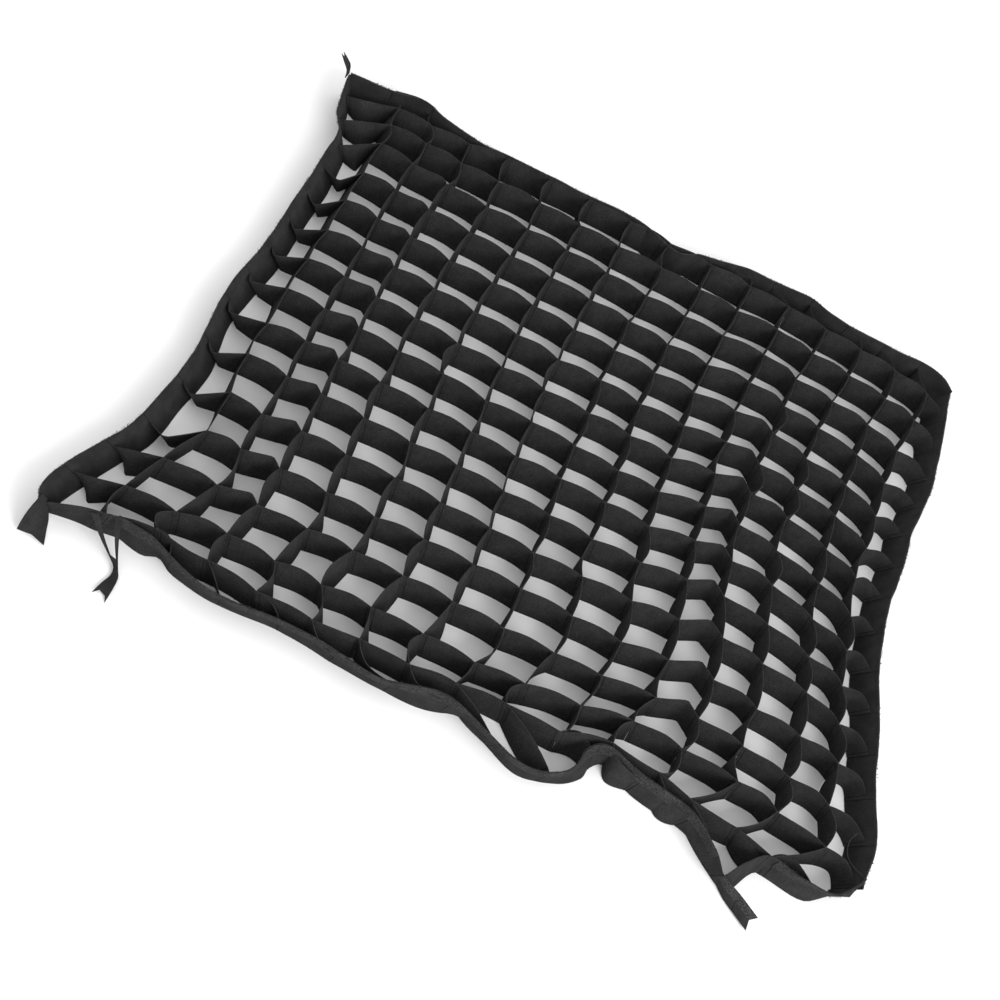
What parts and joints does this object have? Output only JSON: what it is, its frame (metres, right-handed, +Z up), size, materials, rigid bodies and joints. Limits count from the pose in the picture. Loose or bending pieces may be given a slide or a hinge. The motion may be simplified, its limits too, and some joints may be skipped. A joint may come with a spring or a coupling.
{
  "type": "honeycomb grid",
  "caption": "Soft square egg-crate light control grid of slotted black fabric strips in a border band with hook tape and loose corner tails.",
  "frame": {"origin": "centre of the grid on the plane that it lies on, where the middle strips cross", "axes": "+X along the crosswise strips, +Y along the lengthwise strips, +Z up out of the cells; the grid lies flat"},
  "size_m": [0.825, 0.8137, 0.035],
  "materials": {
    "grid_fabric": "matte black felted cloth",
    "band_fabric": "matte black woven cloth",
    "hook_tape": "black fuzzy hook and loop tape"
  },
  "bodies": {
    "front_border": {"front_border_band": "band_fabric", "front_hook_tape": "hook_tape"},
    "right_border": {"right_border_band": "band_fabric", "right_hook_tape": "hook_tape"},
    "back_border": {"back_border_band": "band_fabric", "back_hook_tape": "hook_tape"},
    "left_border": {"left_border_band": "band_fabric", "left_hook_tape": "hook_tape"},
    "crosswise_01": {"crosswise_strip_01": "grid_fabric"},
    "crosswise_02": {"crosswise_strip_02": "grid_fabric"},
    "crosswise_03": {"crosswise_strip_03": "grid_fabric"},
    "crosswise_04": {"crosswise_strip_04": "grid_fabric"},
    "crosswise_05": {"crosswise_strip_05": "grid_fabric"},
    "crosswise_06": {"crosswise_strip_06": "grid_fabric"},
    "crosswise_07": {"crosswise_strip_07": "grid_fabric"},
    "crosswise_08": {"crosswise_strip_08": "grid_fabric"},
    "crosswise_09": {"crosswise_strip_09": "grid_fabric"},
    "crosswise_10": {"crosswise_strip_10": "grid_fabric"},
    "crosswise_11": {"crosswise_strip_11": "grid_fabric"},
    "crosswise_12": {"crosswise_strip_12": "grid_fabric"},
    "crosswise_13": {"crosswise_strip_13": "grid_fabric"},
    "crosswise_14": {"crosswise_strip_14": "grid_fabric"},
    "crosswise_15": {"crosswise_strip_15": "grid_fabric"},
    "lengthwise_01": {"lengthwise_strip_01": "grid_fabric"},
    "lengthwise_02": {"lengthwise_strip_02": "grid_fabric"},
    "lengthwise_03": {"lengthwise_strip_03": "grid_fabric"},
    "lengthwise_04": {"lengthwise_strip_04": "grid_fabric"},
    "lengthwise_05": {"lengthwise_strip_05": "grid_fabric"},
    "lengthwise_06": {"lengthwise_strip_06": "grid_fabric"},
    "lengthwise_07": {"lengthwise_strip_07": "grid_fabric"},
    "lengthwise_08": {"lengthwise_strip_08": "grid_fabric"},
    "lengthwise_09": {"lengthwise_strip_09": "grid_fabric"},
    "lengthwise_10": {"lengthwise_strip_10": "grid_fabric"},
    "lengthwise_11": {"lengthwise_strip_11": "grid_fabric"},
    "lengthwise_12": {"lengthwise_strip_12": "grid_fabric"},
    "lengthwise_13": {"lengthwise_strip_13": "grid_fabric"},
    "lengthwise_14": {"lengthwise_strip_14": "grid_fabric"},
    "lengthwise_15": {"lengthwise_strip_15": "grid_fabric"},
    "front_left_tail": {"front_left_tail": "band_fabric"},
    "front_left_forked_tail": {"front_left_forked_tail": "band_fabric"},
    "front_right_tail": {"front_right_tail": "band_fabric"},
    "back_left_tail": {"back_left_tail": "band_fabric"},
    "back_left_folded_flap": {"back_left_folded_flap": "band_fabric"}
  },
  "joints": [
    {"name": "rack", "type": "hinge", "parent": "front_border", "child": "left_border", "pos_m": [-0.4, -0.372, 0.0175], "axis": [0, 0, 1], "range_deg": [-70, 70]},
    {"name": "right_border_hinge", "type": "hinge", "parent": "front_border", "child": "right_border", "pos_m": [0.4, -0.372, 0.0175], "axis": [0, 0, 1], "range_deg": [-70, 70]},
    {"name": "lengthwise_01_hinge", "type": "hinge", "parent": "front_border", "child": "lengthwise_01", "pos_m": [-0.35, -0.372, 0.0175], "axis": [0, 0, 1], "range_deg": [-70, 70]},
    {"name": "lengthwise_02_hinge", "type": "hinge", "parent": "front_border", "child": "lengthwise_02", "pos_m": [-0.3, -0.372, 0.0175], "axis": [0, 0, 1], "range_deg": [-70, 70]},
    {"name": "lengthwise_03_hinge", "type": "hinge", "parent": "front_border", "child": "lengthwise_03", "pos_m": [-0.25, -0.372, 0.0175], "axis": [0, 0, 1], "range_deg": [-70, 70]},
    {"name": "lengthwise_04_hinge", "type": "hinge", "parent": "front_border", "child": "lengthwise_04", "pos_m": [-0.2, -0.372, 0.0175], "axis": [0, 0, 1], "range_deg": [-70, 70]},
    {"name": "lengthwise_05_hinge", "type": "hinge", "parent": "front_border", "child": "lengthwise_05", "pos_m": [-0.15, -0.372, 0.0175], "axis": [0, 0, 1], "range_deg": [-70, 70]},
    {"name": "lengthwise_06_hinge", "type": "hinge", "parent": "front_border", "child": "lengthwise_06", "pos_m": [-0.1, -0.372, 0.0175], "axis": [0, 0, 1], "range_deg": [-70, 70]},
    {"name": "lengthwise_07_hinge", "type": "hinge", "parent": "front_border", "child": "lengthwise_07", "pos_m": [-0.05, -0.372, 0.0175], "axis": [0, 0, 1], "range_deg": [-70, 70]},
    {"name": "lengthwise_08_hinge", "type": "hinge", "parent": "front_border", "child": "lengthwise_08", "pos_m": [0, -0.372, 0.0175], "axis": [0, 0, 1], "range_deg": [-70, 70]},
    {"name": "lengthwise_09_hinge", "type": "hinge", "parent": "front_border", "child": "lengthwise_09", "pos_m": [0.05, -0.372, 0.0175], "axis": [0, 0, 1], "range_deg": [-70, 70]},
    {"name": "lengthwise_10_hinge", "type": "hinge", "parent": "front_border", "child": "lengthwise_10", "pos_m": [0.1, -0.372, 0.0175], "axis": [0, 0, 1], "range_deg": [-70, 70]},
    {"name": "lengthwise_11_hinge", "type": "hinge", "parent": "front_border", "child": "lengthwise_11", "pos_m": [0.15, -0.372, 0.0175], "axis": [0, 0, 1], "range_deg": [-70, 70]},
    {"name": "lengthwise_12_hinge", "type": "hinge", "parent": "front_border", "child": "lengthwise_12", "pos_m": [0.2, -0.372, 0.0175], "axis": [0, 0, 1], "range_deg": [-70, 70]},
    {"name": "lengthwise_13_hinge", "type": "hinge", "parent": "front_border", "child": "lengthwise_13", "pos_m": [0.25, -0.372, 0.0175], "axis": [0, 0, 1], "range_deg": [-70, 70]},
    {"name": "lengthwise_14_hinge", "type": "hinge", "parent": "front_border", "child": "lengthwise_14", "pos_m": [0.3, -0.372, 0.0175], "axis": [0, 0, 1], "range_deg": [-70, 70]},
    {"name": "lengthwise_15_hinge", "type": "hinge", "parent": "front_border", "child": "lengthwise_15", "pos_m": [0.35, -0.372, 0.0175], "axis": [0, 0, 1], "range_deg": [-70, 70]},
    {"name": "back_border_hinge", "type": "hinge", "parent": "left_border", "child": "back_border", "pos_m": [-0.4, 0.372, 0.0175], "axis": [0, 0, 1], "range_deg": [-70, 70]},
    {"name": "crosswise_01_hinge", "type": "hinge", "parent": "left_border", "child": "crosswise_01", "pos_m": [-0.4, -0.35, 0.0175], "axis": [0, 0, 1], "range_deg": [-70, 70]},
    {"name": "crosswise_02_hinge", "type": "hinge", "parent": "left_border", "child": "crosswise_02", "pos_m": [-0.4, -0.3, 0.0175], "axis": [0, 0, 1], "range_deg": [-70, 70]},
    {"name": "crosswise_03_hinge", "type": "hinge", "parent": "left_border", "child": "crosswise_03", "pos_m": [-0.4, -0.25, 0.0175], "axis": [0, 0, 1], "range_deg": [-70, 70]},
    {"name": "crosswise_04_hinge", "type": "hinge", "parent": "left_border", "child": "crosswise_04", "pos_m": [-0.4, -0.2, 0.0175], "axis": [0, 0, 1], "range_deg": [-70, 70]},
    {"name": "crosswise_05_hinge", "type": "hinge", "parent": "left_border", "child": "crosswise_05", "pos_m": [-0.4, -0.15, 0.0175], "axis": [0, 0, 1], "range_deg": [-70, 70]},
    {"name": "crosswise_06_hinge", "type": "hinge", "parent": "left_border", "child": "crosswise_06", "pos_m": [-0.4, -0.1, 0.0175], "axis": [0, 0, 1], "range_deg": [-70, 70]},
    {"name": "crosswise_07_hinge", "type": "hinge", "parent": "left_border", "child": "crosswise_07", "pos_m": [-0.4, -0.05, 0.0175], "axis": [0, 0, 1], "range_deg": [-70, 70]},
    {"name": "crosswise_08_hinge", "type": "hinge", "parent": "left_border", "child": "crosswise_08", "pos_m": [-0.4, 0, 0.0175], "axis": [0, 0, 1], "range_deg": [-70, 70]},
    {"name": "crosswise_09_hinge", "type": "hinge", "parent": "left_border", "child": "crosswise_09", "pos_m": [-0.4, 0.05, 0.0175], "axis": [0, 0, 1], "range_deg": [-70, 70]},
    {"name": "crosswise_10_hinge", "type": "hinge", "parent": "left_border", "child": "crosswise_10", "pos_m": [-0.4, 0.1, 0.0175], "axis": [0, 0, 1], "range_deg": [-70, 70]},
    {"name": "crosswise_11_hinge", "type": "hinge", "parent": "left_border", "child": "crosswise_11", "pos_m": [-0.4, 0.15, 0.0175], "axis": [0, 0, 1], "range_deg": [-70, 70]},
    {"name": "crosswise_12_hinge", "type": "hinge", "parent": "left_border", "child": "crosswise_12", "pos_m": [-0.4, 0.2, 0.0175], "axis": [0, 0, 1], "range_deg": [-70, 70]},
    {"name": "crosswise_13_hinge", "type": "hinge", "parent": "left_border", "child": "crosswise_13", "pos_m": [-0.4, 0.25, 0.0175], "axis": [0, 0, 1], "range_deg": [-70, 70]},
    {"name": "crosswise_14_hinge", "type": "hinge", "parent": "left_border", "child": "crosswise_14", "pos_m": [-0.4, 0.3, 0.0175], "axis": [0, 0, 1], "range_deg": [-70, 70]},
    {"name": "crosswise_15_hinge", "type": "hinge", "parent": "left_border", "child": "crosswise_15", "pos_m": [-0.4, 0.35, 0.0175], "axis": [0, 0, 1], "range_deg": [-70, 70]},
    {"name": "front_left_tail_hinge", "type": "hinge", "parent": "left_border", "child": "front_left_tail", "pos_m": [-0.412, -0.35, 0.0175], "axis": [0, 0, 1], "range_deg": [-20, 20]},
    {"name": "front_left_forked_tail_hinge", "type": "hinge", "parent": "front_border", "child": "front_left_forked_tail", "pos_m": [-0.352, -0.377, 0.0175], "axis": [0, 0, 1], "range_deg": [-25, 25]},
    {"name": "front_right_tail_hinge", "type": "hinge", "parent": "front_border", "child": "front_right_tail", "pos_m": [0.262, -0.377, 0.0175], "axis": [0, 0, 1], "range_deg": [-25, 18]},
    {"name": "back_left_tail_hinge", "type": "hinge", "parent": "back_border", "child": "back_left_tail", "pos_m": [-0.402, 0.377, 0.0175], "axis": [0, 0, 1], "range_deg": [-25, 25]},
    {"name": "back_left_folded_flap_hinge", "type": "hinge", "parent": "back_border", "child": "back_left_folded_flap", "pos_m": [-0.29, 0.378, 0.0175], "axis": [0, 0, 1], "range_deg": [-30, 6]}
  ],
  "couplings": [
    {"joint": "right_border_hinge", "follows": "rack", "ratio": 1},
    {"joint": "lengthwise_01_hinge", "follows": "rack", "ratio": 1},
    {"joint": "lengthwise_02_hinge", "follows": "rack", "ratio": 1},
    {"joint": "lengthwise_03_hinge", "follows": "rack", "ratio": 1},
    {"joint": "lengthwise_04_hinge", "follows": "rack", "ratio": 1},
    {"joint": "lengthwise_05_hinge", "follows": "rack", "ratio": 1},
    {"joint": "lengthwise_06_hinge", "follows": "rack", "ratio": 1},
    {"joint": "lengthwise_07_hinge", "follows": "rack", "ratio": 1},
    {"joint": "lengthwise_08_hinge", "follows": "rack", "ratio": 1},
    {"joint": "lengthwise_09_hinge", "follows": "rack", "ratio": 1},
    {"joint": "lengthwise_10_hinge", "follows": "rack", "ratio": 1},
    {"joint": "lengthwise_11_hinge", "follows": "rack", "ratio": 1},
    {"joint": "lengthwise_12_hinge", "follows": "rack", "ratio": 1},
    {"joint": "lengthwise_13_hinge", "follows": "rack", "ratio": 1},
    {"joint": "lengthwise_14_hinge", "follows": "rack", "ratio": 1},
    {"joint": "lengthwise_15_hinge", "follows": "rack", "ratio": 1},
    {"joint": "back_border_hinge", "follows": "rack", "ratio": -1},
    {"joint": "crosswise_01_hinge", "follows": "rack", "ratio": -1},
    {"joint": "crosswise_02_hinge", "follows": "rack", "ratio": -1},
    {"joint": "crosswise_03_hinge", "follows": "rack", "ratio": -1},
    {"joint": "crosswise_04_hinge", "follows": "rack", "ratio": -1},
    {"joint": "crosswise_05_hinge", "follows": "rack", "ratio": -1},
    {"joint": "crosswise_06_hinge", "follows": "rack", "ratio": -1},
    {"joint": "crosswise_07_hinge", "follows": "rack", "ratio": -1},
    {"joint": "crosswise_08_hinge", "follows": "rack", "ratio": -1},
    {"joint": "crosswise_09_hinge", "follows": "rack", "ratio": -1},
    {"joint": "crosswise_10_hinge", "follows": "rack", "ratio": -1},
    {"joint": "crosswise_11_hinge", "follows": "rack", "ratio": -1},
    {"joint": "crosswise_12_hinge", "follows": "rack", "ratio": -1},
    {"joint": "crosswise_13_hinge", "follows": "rack", "ratio": -1},
    {"joint": "crosswise_14_hinge", "follows": "rack", "ratio": -1},
    {"joint": "crosswise_15_hinge", "follows": "rack", "ratio": -1}
  ]
}
